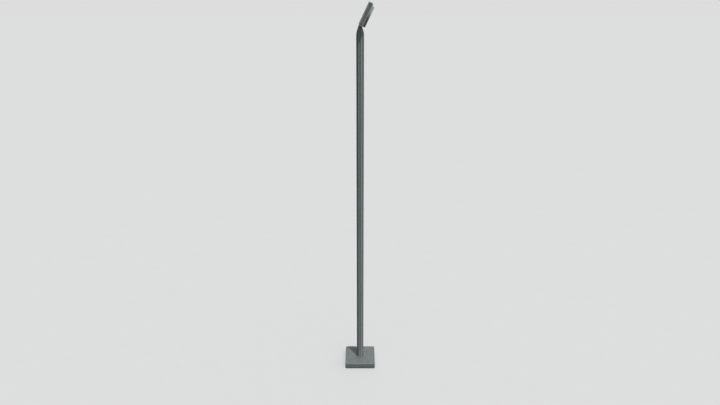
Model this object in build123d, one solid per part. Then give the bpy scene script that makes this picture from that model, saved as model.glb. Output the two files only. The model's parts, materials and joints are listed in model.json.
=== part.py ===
from build123d import *
import os
from math import asin, cos, radians, sin

os.makedirs("parts", exist_ok=True)

# Street lamp post. Millimetres, +Z up. The origin is on the ground, in the middle of the base.
# The door is on +Y. The head leans towards +X, and its lamp face looks towards +X.

# ---- Driving dimensions ----
BASE_SIDE = 520.0
BASE_HEIGHT = 96.0
BASE_CORNER = 28.0
BASE_TOP_EDGE = 9.0
COVER_WALL = 6.0
PLATE_SIDE = 400.0
PLATE_THICK = 25.0
ANCHOR_SPACING = 300.0
ANCHOR_HOLE_R = 13.0
CABLE_HOLE_R = 40.0

POLE_FLATS = 114.0
POLE_WALL = 4.0
POLE_CORNER = 8.0
POLE_TOP = 5580.0
SPIGOT_LENGTH = 110.0
NECK_FLATS = 67.0
NECK_TOP = 5716.0

DOOR_HALF_WIDTH = 42.0
DOOR_LOW = 620.0
DOOR_HIGH = 1020.0
DOOR_THICK = 2.5
DOOR_GAP = 1.5
LOCK_X = 8.0
LOCK_Z = 962.0

PIVOT_X = 14.0
PIVOT_Z = 5752.0
HEAD_LEAN = 26.4
TONGUE_HALF = 24.0
SLOT_HALF = 26.3
HOUSING_HALF_THICK = 30.5
HOUSING_LOW = -24.0
HOUSING_HIGH = 320.0
HOUSING_HALF_WIDTH = 194.0
HOUSING_LOW_CORNER = 14.0
HEAD_HALF_WIDTH = 200.0
MODULE_HALF_WIDTH = 190.0
MODULE_BACK = 31.5
MODULE_FRONT = 66.5
MODULE_LOW = -17.0
MODULE_HIGH = 285.0
NOTCH_HALF = 40.0
NOTCH_HIGH = 34.0

# ---- Shared helpers ----
POLE_HALF = POLE_FLATS / 2
POLE_BORE = POLE_FLATS - 2 * POLE_WALL
POLE_INSIDE = POLE_BORE / 2
RUNNING_GAP = 0.06
END_GAP = 0.3


def grown(span, amount):
    """The (low, high) pair, longer by amount at each end."""
    return (span[0] - amount, span[1] + amount)


def both_ways(reach):
    """The (low, high) pair that is centred on zero."""
    return (-reach, reach)


def block(x, y, z):
    """Box between the (low, high) pairs x, y and z."""
    centre = [(low + high) / 2 for low, high in (x, y, z)]
    size = [high - low for low, high in (x, y, z)]
    return Pos(*centre) * Box(*size)


def rod(radius, axis, span, at):
    """Cylinder along one axis between the ends of span; at holds its other two coordinates."""
    solid = Cylinder(radius, span[1] - span[0])
    middle = (span[0] + span[1]) / 2
    if axis == "X":
        return Pos(middle, at[0], at[1]) * Rot(0, 90, 0) * solid
    if axis == "Y":
        return Pos(at[0], middle, at[1]) * Rot(90, 0, 0) * solid
    return Pos(at[0], at[1], middle) * solid


def tube(outer, inner, axis, span, at):
    """Round tube, as rod with a bore."""
    return rod(outer, axis, span, at) - rod(inner, axis, (span[0] - 1, span[1] + 1), at)


def hexagon(half_flats, span, at):
    """Hexagonal prism along Y between the ends of span, centred on at = (x, z)."""
    outline = Plane.XZ * RegularPolygon(half_flats, 6, major_radius=False)
    prism = extrude(outline, span[0] - span[1])
    return Pos(at[0], span[0], at[1]) * prism


def octagon_prism(flats, z, corner=0.0):
    """Upright octagonal prism with flats square to X and Y, and its edges rounded."""
    outline = RegularPolygon(flats / 2 / cos(radians(22.5)), 8, rotation=22.5)
    prism = Pos(0, 0, z[0]) * extrude(outline, z[1] - z[0])
    if corner:
        prism = fillet(prism.edges().filter_by(Axis.Z), corner)
    return prism


def window(half_width, z, corner):
    """Cutter for an opening in the back of the pole, with rounded corners."""
    cutter = block((-half_width, half_width), (15, 75), z)
    return fillet(cutter.edges().filter_by(Axis.Y), corner)


def save(name, part, placement=Location()):
    """Write one node."""
    export_step(placement * part, f"parts/{name}.step")


HEAD = Location((PIVOT_X, 0, PIVOT_Z), (0, HEAD_LEAN, 0))


# ---- Base ----
def base_plate():
    wide = both_ways(PLATE_SIDE / 2)
    plate = block(wide, wide, (0, PLATE_THICK))
    plate = fillet(plate.edges().filter_by(Axis.Z), 14)
    plate -= rod(CABLE_HOLE_R, "Z", (-1, PLATE_THICK + 1), (0, 0))
    offset = ANCHOR_SPACING / 2
    for x in (-offset, offset):
        for y in (-offset, offset):
            plate -= rod(ANCHOR_HOLE_R, "Z", (-1, PLATE_THICK + 1), (x, y))
    return plate


def base_gussets():
    reach = 82.0
    height = 56.0
    toe = 8.0
    low = PLATE_THICK
    outline = make_face(
        Polyline(
            (POLE_HALF, low),
            (POLE_HALF + reach, low),
            (POLE_HALF + reach, low + toe),
            (POLE_HALF + toe, low + height),
            (POLE_HALF, low + height),
            close=True,
        )
    )
    gusset = extrude(Plane.XZ * outline, 5, both=True)
    return Compound([Rot(0, 0, 90 * turn) * gusset for turn in range(4)])


COVER_SCREW_Y = 90.0
COVER_SCREW_Z = 48.0
COVER_SCREW_R = 4.0


def cover_screw_places():
    """Two places on the +X side of the base and two on the -X side."""
    return [Rot(0, 0, turn) * Pos(0, y, 0) for turn in (0, 180) for y in both_ways(COVER_SCREW_Y)]


def base_cover():
    half = BASE_SIDE / 2
    shell = block(both_ways(half), both_ways(half), (0, BASE_HEIGHT))
    shell = fillet(shell.edges().filter_by(Axis.Z), BASE_CORNER)
    shell = fillet(shell.faces().sort_by(Axis.Z)[-1].edges(), BASE_TOP_EDGE)
    inside = half - COVER_WALL
    cavity = block(both_ways(inside), both_ways(inside), (-1, BASE_HEIGHT - COVER_WALL))
    cavity = fillet(cavity.edges().filter_by(Axis.Z), BASE_CORNER - COVER_WALL)
    cavity = fillet(cavity.faces().sort_by(Axis.Z)[-1].edges(), 4)
    shell -= cavity
    shell -= octagon_prism(POLE_FLATS + 8, (0, BASE_HEIGHT + 1), POLE_CORNER + 1)
    hole = rod(COVER_SCREW_R + 0.4, "X", (inside - 5, half + 5), (0, COVER_SCREW_Z))
    hole += Pos(half - 2, 0, COVER_SCREW_Z) * Rot(0, 90, 0) * Cone(COVER_SCREW_R + 0.2, 8.2, 4.01)
    for place in cover_screw_places():
        shell -= place * hole
    return shell


def cover_brackets():
    inside = BASE_SIDE / 2 - COVER_WALL
    sheet = 4.0
    leg = block((inside - sheet, inside), both_ways(16), (PLATE_THICK, COVER_SCREW_Z + 16))
    foot = block((160, inside), both_ways(16), (PLATE_THICK, PLATE_THICK + sheet))
    bracket = leg + foot
    bracket -= rod(COVER_SCREW_R + RUNNING_GAP, "X", grown((inside - sheet, inside), 4), (0, COVER_SCREW_Z))
    return Compound([place * bracket for place in cover_screw_places()])


def cover_screws():
    half = BASE_SIDE / 2
    screw = rod(COVER_SCREW_R, "X", (half - 20, half - 2), (0, COVER_SCREW_Z))
    screw += Pos(half - 2, 0, COVER_SCREW_Z) * Rot(0, 90, 0) * Cone(COVER_SCREW_R, 7.9, 3.9)
    screw -= Pos(half, 0, COVER_SCREW_Z) * Rot(0, 90, 0) * extrude(RegularPolygon(2.9, 6), 3, both=True)
    return Compound([place * screw for place in cover_screw_places()])


def cover_collar():
    ring = octagon_prism(POLE_FLATS + 8, (BASE_HEIGHT - COVER_WALL, BASE_HEIGHT), POLE_CORNER + 1)
    return ring - octagon_prism(POLE_FLATS, (0, BASE_HEIGHT + 1), POLE_CORNER)


# ---- Pole ----
SCREW_LEVELS = (5500.0, 5545.0)
SCREW_FACES = (-45, 0, 45)
SPIGOT_SCREW_R = 4.0


def pole_shaft():
    shaft = octagon_prism(POLE_FLATS, (PLATE_THICK, POLE_TOP), POLE_CORNER)
    shaft -= octagon_prism(POLE_BORE, (0, POLE_TOP + 1), POLE_CORNER - POLE_WALL)
    shaft -= window(DOOR_HALF_WIDTH, (DOOR_LOW, DOOR_HIGH), 12)
    for turn in SCREW_FACES:
        for level in SCREW_LEVELS:
            shaft -= Rot(0, 0, turn) * rod(SPIGOT_SCREW_R + 0.2, "Y", (45, 65), (0, level))
    return shaft


def spigot_screws():
    screws = []
    for turn in SCREW_FACES:
        for level in SCREW_LEVELS:
            shank = rod(SPIGOT_SCREW_R, "Y", (46, POLE_HALF), (0, level))
            head = rod(7, "Y", (POLE_HALF, POLE_HALF + 4), (0, level))
            head = chamfer(head.edges().sort_by(Axis.Y)[-1], 1.5)
            drive = hexagon(2.5, (POLE_HALF + 1, POLE_HALF + 5), (0, level))
            screws.append(Rot(0, 0, turn) * (shank + head - drive))
    return Compound(screws)


# ---- Service door ----
def door_frame():
    outside = octagon_prism(POLE_BORE, (DOOR_LOW - 20, DOOR_HIGH + 20), POLE_CORNER - POLE_WALL)
    ring = outside - octagon_prism(POLE_BORE - 6, (DOOR_LOW - 30, DOOR_HIGH + 30), 3)
    ring &= block((-48, 48), (10, 60), (DOOR_LOW - 20, DOOR_HIGH + 20))
    return ring - window(DOOR_HALF_WIDTH - 6, (DOOR_LOW + 6, DOOR_HIGH - 6), 8)


# The hinge stands on the sloping face beside the door. It is drawn on the +Y face, then turned
# there: HINGE_T is across the face and HINGE_H is out from the pole's axis.
HINGE_TURN = Rot(0, 0, 45)
HINGE_T = -1.34
HINGE_H = POLE_HALF + 5.4
HINGE_BARREL_R = 5.0
HINGE_PIN_R = 2.5
KNUCKLE = 20.0
HINGE_LEVELS = (690.0, 900.0)


def hinge_leaf(reach, z):
    """Flat leaf on the sloping face of the pole with a knuckle round the hinge axis."""
    edge = HINGE_T + reach
    leaf = block((min(HINGE_T, edge), max(HINGE_T, edge)), (POLE_HALF, POLE_HALF + 2), z)
    leaf += rod(HINGE_BARREL_R, "Z", z, (HINGE_T, HINGE_H))
    return leaf - rod(HINGE_PIN_R + RUNNING_GAP, "Z", (z[0] - 1, z[1] + 1), (HINGE_T, HINGE_H))


def door_hinge_leaves():
    leaves = []
    for level in HINGE_LEVELS:
        for low in (level, level + 2 * KNUCKLE):
            leaves.append(HINGE_TURN * hinge_leaf(-16, (low, low + KNUCKLE)))
    return Compound(leaves)


def door_hinge_pins():
    pins = []
    for level in HINGE_LEVELS:
        pin = rod(HINGE_PIN_R, "Z", (level - 3, level + 3 * KNUCKLE + 3), (HINGE_T, HINGE_H))
        for end in (level - 3, level + 3 * KNUCKLE):
            pin += rod(HINGE_PIN_R + 1.5, "Z", (end, end + 3), (HINGE_T, HINGE_H))
        pins.append(HINGE_TURN * pin)
    return Compound(pins)


def service_door():
    z = (DOOR_LOW + DOOR_GAP, DOOR_HIGH - DOOR_GAP)
    panel = octagon_prism(POLE_FLATS, z, POLE_CORNER)
    panel -= octagon_prism(POLE_FLATS - 2 * DOOR_THICK, (z[0] - 1, z[1] + 1), POLE_CORNER - DOOR_THICK)
    panel &= window(DOOR_HALF_WIDTH - DOOR_GAP, z, 12 - DOOR_GAP)
    for level in HINGE_LEVELS:
        low = level + KNUCKLE + END_GAP
        panel += HINGE_TURN * hinge_leaf(14, (low, low + KNUCKLE - 2 * END_GAP))
    return panel - rod(8.1, "Y", (40, 70), (LOCK_X, LOCK_Z))


def door_gasket():
    z = (DOOR_LOW + 2, DOOR_HIGH - 2)
    inside_of_door = POLE_FLATS - 2 * DOOR_THICK
    strip = octagon_prism(inside_of_door, z, POLE_CORNER - DOOR_THICK)
    strip -= octagon_prism(inside_of_door - 1.8, (z[0] - 1, z[1] + 1), POLE_CORNER - DOOR_THICK - 1)
    strip &= window(DOOR_HALF_WIDTH - 2, z, 10)
    return strip - window(DOOR_HALF_WIDTH - 5.5, (z[0] + 3.5, z[1] - 3.5), 7)


LOCK_SPINDLE_R = 5.0
CAM_BACK = 18.0
CAM_FRONT = 22.0


def lock_body():
    at = (LOCK_X, LOCK_Z)
    inside_of_door = POLE_HALF - DOOR_THICK
    body = rod(8, "Y", (30, POLE_HALF), at) + rod(12, "Y", (POLE_HALF, POLE_HALF + 2), at)
    body += hexagon(10, (inside_of_door - 5, inside_of_door), at)
    return body - rod(LOCK_SPINDLE_R + RUNNING_GAP, "Y", (20, 70), at)


def lock_spindle():
    at = (LOCK_X, LOCK_Z)
    spindle = rod(LOCK_SPINDLE_R, "Y", (CAM_FRONT, POLE_HALF + 1), at)
    spindle += rod(8, "Y", (CAM_FRONT, 29.5), at)
    spindle += rod(3, "Y", (13, CAM_FRONT), at)
    recess = Plane.XZ * RegularPolygon(4, 3)
    return spindle - Pos(LOCK_X, POLE_HALF + 1, LOCK_Z) * extrude(recess, 6, both=True)


def lock_cam():
    reach = 38.0
    cam = block((LOCK_X - 7, LOCK_X + 7), (CAM_BACK, CAM_FRONT), (LOCK_Z, LOCK_Z + reach))
    cam = fillet(cam.edges().filter_by(Axis.Y).sort_by(Axis.Z)[-2:], 5)
    cam += rod(9, "Y", (CAM_BACK, CAM_FRONT), (LOCK_X, LOCK_Z))
    return cam - rod(3.05, "Y", (10, 30), (LOCK_X, LOCK_Z))


def cam_nut():
    nut = hexagon(5.5, (13.5, CAM_BACK), (LOCK_X, LOCK_Z))
    return nut - rod(3.05, "Y", (10, 30), (LOCK_X, LOCK_Z))


# ---- Service compartment ----
BOARD_BACK = -22.0
BOARD_FRONT = -14.0
BOX_HALF = 30.0
BOX_LOW = 690.0
BOX_HIGH = 850.0
BOX_JOINT = -2.0
BOX_WALL = 3.0
BOX_FRONT = 22.0
CABLE_R = 5.0
CABLE_Y = 4.0
FUSE_X = (-24.0, -6.0)
FUSE_Z = (740.0, 800.0)
FUSE_Y = 12.0
FUSE_R = 5.0
BREAKER_X = (6.0, 26.0)
BREAKER_Z = (745.0, 795.0)
LEVER_AT = (19.0, 770.0)


def equipment_board():
    board = block((-38, 38), (BOARD_BACK, BOARD_FRONT), (570, 1000))
    return fillet(board.edges().filter_by(Axis.Y), 4)


def board_brackets():
    brackets = []
    for low in (585, 960):
        channel = block((-16, 16), (-POLE_INSIDE, BOARD_BACK), (low, low + 26))
        channel -= block((-13, 13), (-POLE_INSIDE + 3, BOARD_BACK - 3), (low - 1, low + 27))
        brackets.append(channel)
    return Compound(brackets)


def cutout_base():
    base = block(both_ways(BOX_HALF), (BOARD_FRONT, BOX_JOINT), (BOX_LOW, BOX_HIGH))
    base = fillet(base.edges().filter_by(Axis.Y), 5)
    inside = grown((BOX_LOW, BOX_HIGH), -BOX_WALL)
    return base - block(both_ways(BOX_HALF - BOX_WALL), (BOARD_FRONT + BOX_WALL, BOX_JOINT + 1), inside)


def cutout_cover():
    cover = block(both_ways(BOX_HALF), (BOX_JOINT, BOX_FRONT), (BOX_LOW, BOX_HIGH))
    cover = fillet(cover.edges().filter_by(Axis.Y), 5)
    cover = fillet(cover.faces().sort_by(Axis.Y)[-1].edges(), 2)
    inside = grown((BOX_LOW, BOX_HIGH), -BOX_WALL)
    cover -= block(both_ways(BOX_HALF - BOX_WALL), (BOX_JOINT - 1, BOX_FRONT - BOX_WALL), inside)
    cover -= block(FUSE_X, (0, 40), FUSE_Z)
    cover -= block(BREAKER_X, (0, 40), BREAKER_Z)
    cover -= rod(CABLE_R, "Z", (BOX_HIGH - 10, BOX_HIGH + 10), (0, CABLE_Y))
    return cover


def fuse_carrier():
    carrier = block(grown(FUSE_X, -0.5), (2, 30), grown(FUSE_Z, -0.5))
    carrier = fillet(carrier.faces().sort_by(Axis.Y)[-1].edges(), 2)
    middle = sum(FUSE_X) / 2
    carrier -= rod(FUSE_R + 0.2, "Z", grown(FUSE_Z, -9.8), (middle, FUSE_Y))
    for low in (756, 764, 772, 780):
        for side in grown(FUSE_X, -0.5):
            carrier -= block(grown((side, side), 2), (24, 31), (low, low + 2))
    return carrier


def fuse_link():
    return rod(FUSE_R, "Z", grown(FUSE_Z, -10), (sum(FUSE_X) / 2, FUSE_Y))


def breaker_body():
    body = block(grown(BREAKER_X, -0.5), (BOX_JOINT, 24), grown(BREAKER_Z, -0.5))
    slot = block((9.7, 22.3), (11, 30), (761, 779))
    return body - slot


def breaker_lever():
    lever = rod(6.5, "X", (10, 22), LEVER_AT)
    handle = block((11, 21), (LEVER_AT[0], LEVER_AT[0] + 14), (LEVER_AT[1] - 2, LEVER_AT[1] + 2))
    handle = fillet(handle.edges().filter_by(Axis.X), 1.2)
    tilt = Pos(0, *LEVER_AT) * Rot(35, 0, 0) * Pos(0, -LEVER_AT[0], -LEVER_AT[1])
    return lever + tilt * handle


def earth_bar():
    bar = block((-28, 28), (BOARD_FRONT, BOARD_FRONT + 8), (632, 644))
    for x in (-20, -7, 7, 20):
        bar -= rod(2, "Z", (630, 646), (x, BOARD_FRONT + 4))
    return bar


def earth_bar_screws():
    screws = []
    for x in (-13.5, 0, 13.5):
        screw = rod(3.4, "Y", (BOARD_FRONT + 8, BOARD_FRONT + 11), (x, 638))
        screws.append(screw - block((x - 4, x + 4), (BOARD_FRONT + 10, BOARD_FRONT + 12), (637.4, 638.6)))
    return Compound(screws)


def cutout_glands():
    length = 18.0
    gland = rod(9, "Z", (0, length), (0, 0))
    gland = chamfer(gland.faces().sort_by(Axis.Z)[-1].edges(), 2.5)
    gland -= rod(CABLE_R, "Z", grown((0, length), 1), (0, 0))
    upper = Pos(0, CABLE_Y, BOX_HIGH) * gland
    lower = [Pos(x, CABLE_Y, BOX_LOW) * Rot(180, 0, 0) * gland for x in (-14, 14)]
    return Compound([upper] + lower)


WEB_LOW = 5558.0
WEB_HIGH = 5568.0
CONNECTOR_LOW = 5590.0


def riser_cable():
    return rod(CABLE_R, "Z", (BOX_HIGH - 3, CONNECTOR_LOW), (0, CABLE_Y))


def riser_gland():
    gland = tube(12, CABLE_R, "Z", (WEB_LOW - 10, CONNECTOR_LOW), (0, CABLE_Y))
    gland += tube(17, CABLE_R, "Z", (WEB_HIGH, WEB_HIGH + 6), (0, CABLE_Y))
    return gland + tube(17, CABLE_R, "Z", (WEB_LOW - 7, WEB_LOW), (0, CABLE_Y))


def riser_connector():
    body = block((-14, 14), (CABLE_Y - 12, CABLE_Y + 12), (CONNECTOR_LOW, CONNECTOR_LOW + 42))
    body = fillet(body.edges().filter_by(Axis.Z), 4)
    for x in (-7, 0, 7):
        body -= rod(2, "Z", (CONNECTOR_LOW + 30, CONNECTOR_LOW + 43), (x, CABLE_Y))
    return body


# ---- Pole top ----
BUSH_R = 11.0
BOLT_R = 8.0
EYE_R = 25.0
CHAMBER_TOP = 5646.0
LEAD_EXIT_Z = 5691.0
LEAD_HOLE_R = 9.0


def bell_outline():
    """Half outline of the shoulder: one arc that leaves the pole's face smoothly and ends at the neck."""
    wide = POLE_HALF
    narrow = NECK_FLATS / 2
    low = POLE_TOP + 4
    high = NECK_TOP - 22
    radius = ((wide - narrow) ** 2 + (high - low) ** 2) / (2 * (wide - narrow))
    half_sweep = asin((high - low) / radius) / 2
    middle = (wide - radius + radius * cos(half_sweep), low + radius * sin(half_sweep))

    outline = Line((0, POLE_TOP), (wide, POLE_TOP)) + Line((wide, POLE_TOP), (wide, low))
    outline += ThreePointArc((wide, low), middle, (narrow, high))
    outline += Line((narrow, high), (narrow, NECK_TOP)) + Line((narrow, NECK_TOP), (0, NECK_TOP))
    return make_face(outline + Line((0, NECK_TOP), (0, POLE_TOP)))


def pole_top_casting():
    half = extrude(Plane.XZ * bell_outline(), POLE_FLATS, both=True)
    slab = half + mirror(half, about=Plane.YZ)
    bell = slab & (Rot(0, 0, 45) * slab) & (Rot(0, 0, 90) * slab) & (Rot(0, 0, 135) * slab)
    upright = [edge for edge in bell.edges() if edge.bounding_box().size.Z > 5]
    bell = fillet(upright, 6)

    foot = NECK_TOP - 6
    tongue = make_hull(
        (
            Polyline((-28, foot), (28, foot), (28, NECK_TOP), (-28, NECK_TOP), close=True)
            + Pos(PIVOT_X, PIVOT_Z) * CenterArc((0, 0), EYE_R, 0, 360)
        ).edges()
    )
    tongue = extrude(Plane.XZ * tongue, TONGUE_HALF, both=True)

    spigot = octagon_prism(POLE_BORE - 0.6, (POLE_TOP - SPIGOT_LENGTH, POLE_TOP), POLE_CORNER - POLE_WALL)
    casting = spigot + bell + tongue
    casting -= rod(42, "Z", (POLE_TOP - SPIGOT_LENGTH - 1, WEB_LOW), (0, 0))
    casting -= rod(28, "Z", (WEB_HIGH, CHAMBER_TOP), (0, 0))
    casting -= rod(12, "Z", (WEB_LOW - 1, WEB_HIGH + 1), (0, CABLE_Y))
    casting -= rod(LEAD_HOLE_R, "Z", (CHAMBER_TOP - 6, LEAD_EXIT_Z + LEAD_HOLE_R), (0, 0))
    casting -= rod(LEAD_HOLE_R, "X", (0, 60), (0, LEAD_EXIT_Z))
    casting -= rod(BUSH_R, "Y", (-40, 40), (PIVOT_X, PIVOT_Z))
    for turn in SCREW_FACES:
        for level in SCREW_LEVELS:
            casting -= Rot(0, 0, turn) * rod(SPIGOT_SCREW_R + RUNNING_GAP, "Y", (35, 65), (0, level))
    return casting


def pivot_bushes():
    at = (PIVOT_X, PIVOT_Z)
    sleeve = tube(BUSH_R, BOLT_R + RUNNING_GAP, "Y", (2, TONGUE_HALF), at)
    sleeve += tube(17, BOLT_R + RUNNING_GAP, "Y", (TONGUE_HALF, TONGUE_HALF + 2), at)
    return Compound([sleeve, mirror(sleeve, about=Plane.XZ)])


# ---- Head. Drawn upright about the pivot: +X out of the lamp face, +Z towards the tip. ----
EAR_OUT = 46.0
WASHER = 2.5
BACK_WALL = -14.0
TRAY_BACK = -9.0
TRAY_Z = (48.0, 276.0)
TIP_CHANNEL_Z = (284.0, 312.0)
GLAND_AT = (8.0, 0.0)
VENT_AT = (8.0, 120.0)
FIN_COUNT = 22
FIN_THICK = 3.0
PLATE_SCREWS = ((-8.0, 316.0), (22.0, 316.0), (-20.0, 37.0), (20.0, 41.0))
PLATE_SCREW_R = 2.0
PLUG_R = 9.0
LATCH_PLACES = ((-150.0, 12.0), (150.0, 12.0))
LATCH_R = 4.0
LATCH_HEAD_R = 7.0
LATCH_POST_R = 10.0


def head_housing():
    wide = (-HOUSING_HALF_WIDTH, HOUSING_HALF_WIDTH)
    thick = (-HOUSING_HALF_THICK, HOUSING_HALF_THICK)
    barrel = block(thick, wide, (HOUSING_LOW, 40))
    barrel = fillet(barrel.edges().filter_by(Axis.Y).sort_by(Axis.Z)[:2], HOUSING_LOW_CORNER)
    channel = block((-24, 24), wide, (-18, 34))
    channel = fillet(channel.edges().filter_by(Axis.Y).sort_by(Axis.Z)[:2], 16)
    ears = block((-25, 25), (-EAR_OUT, EAR_OUT), (-19, 35))
    housing = barrel - (channel - ears)
    housing += block((BACK_WALL, thick[1]), wide, (38, HOUSING_HIGH))
    first_fin = 52.0
    last_fin = HOUSING_HIGH - FIN_THICK
    for number in range(FIN_COUNT):
        low = first_fin + number * (last_fin - first_fin) / (FIN_COUNT - 1)
        housing += block((thick[0], BACK_WALL + 1), wide, (low, low + FIN_THICK))
    housing -= block((TRAY_BACK, thick[1] + 1), grown(wide, 1), TRAY_Z)
    housing -= block((TRAY_BACK, thick[1] - 6), grown(wide, 1), TIP_CHANNEL_Z)
    housing -= block((-40, 40), (-SLOT_HALF, SLOT_HALF), (-40, 36))
    housing -= rod(BOLT_R + RUNNING_GAP, "Y", (-60, 60), (0, 0))
    housing -= rod(8, "Z", (30, 60), GLAND_AT)
    housing -= rod(6, "Z", (HOUSING_HIGH - 9, HOUSING_HIGH + 1), VENT_AT)
    for y, z in LATCH_PLACES:
        housing -= rod(LATCH_R + 0.6, "X", (20, 40), (y, z))
    for place in PLATE_SCREWS:
        for end in wide:
            housing -= rod(PLATE_SCREW_R + RUNNING_GAP, "Y", grown((end, end), 14), place)
    return housing


def end_plate():
    y = (HOUSING_HALF_WIDTH, HEAD_HALF_WIDTH)
    plate = block((-HOUSING_HALF_THICK, HOUSING_HALF_THICK), y, (HOUSING_LOW, HOUSING_HIGH))
    corners = plate.edges().filter_by(Axis.Y).sort_by(Axis.Z)
    plate = fillet(corners[:2], HOUSING_LOW_CORNER)
    corners = plate.edges().filter_by(Axis.Y).sort_by(Axis.Z)
    plate = fillet(corners[-2:], 5)
    plate = chamfer(plate.faces().sort_by(Axis.Y)[-1].edges(), 2.5)
    plate -= rod(PLUG_R, "Y", grown(y, 1), (0, 0))
    for x, z in PLATE_SCREWS:
        plate -= rod(2.2, "Y", grown(y, 1), (x, z))
        plate -= rod(4.2, "Y", (y[1] - 2.6, y[1] + 1), (x, z))
    return plate


def end_plate_screws():
    screws = []
    for x, z in PLATE_SCREWS:
        screw = rod(PLATE_SCREW_R, "Y", (HOUSING_HALF_WIDTH - 12, HEAD_HALF_WIDTH - 2), (x, z))
        screw += rod(4, "Y", (HEAD_HALF_WIDTH - 2.6, HEAD_HALF_WIDTH - 0.1), (x, z))
        screw -= hexagon(1.5, (HEAD_HALF_WIDTH - 2, HEAD_HALF_WIDTH + 1), (x, z))
        screws += [screw, mirror(screw, about=Plane.XZ)]
    return Compound(screws)


def access_plugs():
    plug = rod(PLUG_R, "Y", (HOUSING_HALF_WIDTH + 1, HEAD_HALF_WIDTH - 1.5), (0, 0))
    return Compound([plug, mirror(plug, about=Plane.XZ)])


def pivot_bolt():
    head_low = -EAR_OUT - WASHER
    bolt = rod(BOLT_R, "Y", (head_low, EAR_OUT + WASHER + 16), (0, 0))
    return bolt + hexagon(12, (head_low - 10, head_low), (0, 0))


def pivot_washers():
    washer = tube(15, BOLT_R + RUNNING_GAP, "Y", (EAR_OUT, EAR_OUT + WASHER), (0, 0))
    return Compound([washer, mirror(washer, about=Plane.XZ)])


def pivot_nut():
    low = EAR_OUT + WASHER
    return hexagon(12, (low, low + 13), (0, 0)) - rod(BOLT_R + RUNNING_GAP, "Y", (40, 70), (0, 0))


def led_driver():
    case = block((TRAY_BACK, 20), (-160, 10), (118, 186))
    case = fillet(case.edges().filter_by(Axis.Y).sort_by(Axis.X)[-2:], 4)
    case += block((TRAY_BACK, TRAY_BACK + 3), (-172, 22), (128, 176))
    for y in (-166, 16):
        case -= rod(2.2, "X", (TRAY_BACK - 1, TRAY_BACK + 4), (y, 152))
    return case


def surge_protector():
    body = block((TRAY_BACK, 16), (60, 120), (118, 156))
    return fillet(body.edges().filter_by(Axis.X), 3)


def terminal_block():
    body = block((TRAY_BACK, 10), (-36, 36), (66, 86))
    for number in range(5):
        y = -28 + number * 14
        body -= block((2, 12), (y - 4.5, y + 4.5), (70, 87))
    return body


def head_gland():
    gland = tube(8, 4, "Z", (31, 54), GLAND_AT)
    gland += tube(11, 4, "Z", (31, 36), GLAND_AT)
    return gland + tube(11, 4, "Z", (48, 53), GLAND_AT)


def vent_plug():
    stem = rod(6, "Z", (HOUSING_HIGH - 9, HOUSING_HIGH), VENT_AT)
    return stem + rod(8, "Z", (HOUSING_HIGH, HOUSING_HIGH + 3), VENT_AT)


def module_sheet(x, inset, corner):
    """Flat plate with the lamp module's outline, drawn in from it by inset on every side."""
    plate = block(x, both_ways(MODULE_HALF_WIDTH - inset), grown((MODULE_LOW, MODULE_HIGH), -inset))
    plate = fillet(plate.edges().filter_by(Axis.X), corner)
    return plate - block(grown(x, 1), both_ways(NOTCH_HALF + inset), (MODULE_LOW - 1, NOTCH_HIGH + inset))


def module_gasket():
    x = (HOUSING_HALF_THICK, HOUSING_HALF_THICK + 0.7)
    ring = block(x, (-184, 184), (TRAY_Z[0] - 6, TRAY_Z[1] + 6))
    ring = fillet(ring.edges().filter_by(Axis.X), 5)
    return ring - block(grown(x, 1), (-180, 180), grown(TRAY_Z, 1))


MODULE_HINGE_X = 37.0
MODULE_HINGE_Z = 291.0
MODULE_HINGE_AT = (MODULE_HINGE_X, MODULE_HINGE_Z)
MODULE_HINGE_Y = (-120.0, 120.0)
MODULE_BARREL_R = 5.5


def head_hinge_leaves():
    y = (6 + END_GAP, 20)
    sheet = (HOUSING_HALF_THICK, HOUSING_HALF_THICK + 2.5)
    leaf = block(sheet, y, (MODULE_HINGE_Z, HOUSING_HIGH - 6))
    leaf += rod(MODULE_BARREL_R, "Y", y, MODULE_HINGE_AT)
    leaf -= rod(HINGE_PIN_R + RUNNING_GAP, "Y", grown(y, 1), MODULE_HINGE_AT)
    pair = [leaf, mirror(leaf, about=Plane.XZ)]
    return Compound([Pos(0, middle, 0) * piece for middle in MODULE_HINGE_Y for piece in pair])


def module_hinge_pins():
    pins = [rod(HINGE_PIN_R, "Y", grown((y, y), 20), MODULE_HINGE_AT) for y in MODULE_HINGE_Y]
    return Compound(pins)


# ---- Lamp module, hinged at the tip end of the head ----
FRAME_FRONT = 63.5
GLASS = (59.5, 63.5)
SEAL = (58.0, 59.5)
POCKET_BACK = 39.5
POCKET_INSET = 8.0
GLASS_INSET = 4.0
BEZEL_INSET = 14.0
LED_COLUMNS = 8
LED_ROWS = 5
LED_PITCH_Y = 40.0
LED_PITCH_Z = 42.0
LED_MIDDLE_Z = 162.0


def led_places():
    for column in range(LED_COLUMNS):
        for row in range(LED_ROWS):
            y = (column - (LED_COLUMNS - 1) / 2) * LED_PITCH_Y
            yield y, LED_MIDDLE_Z + (row - (LED_ROWS - 1) / 2) * LED_PITCH_Z


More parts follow.
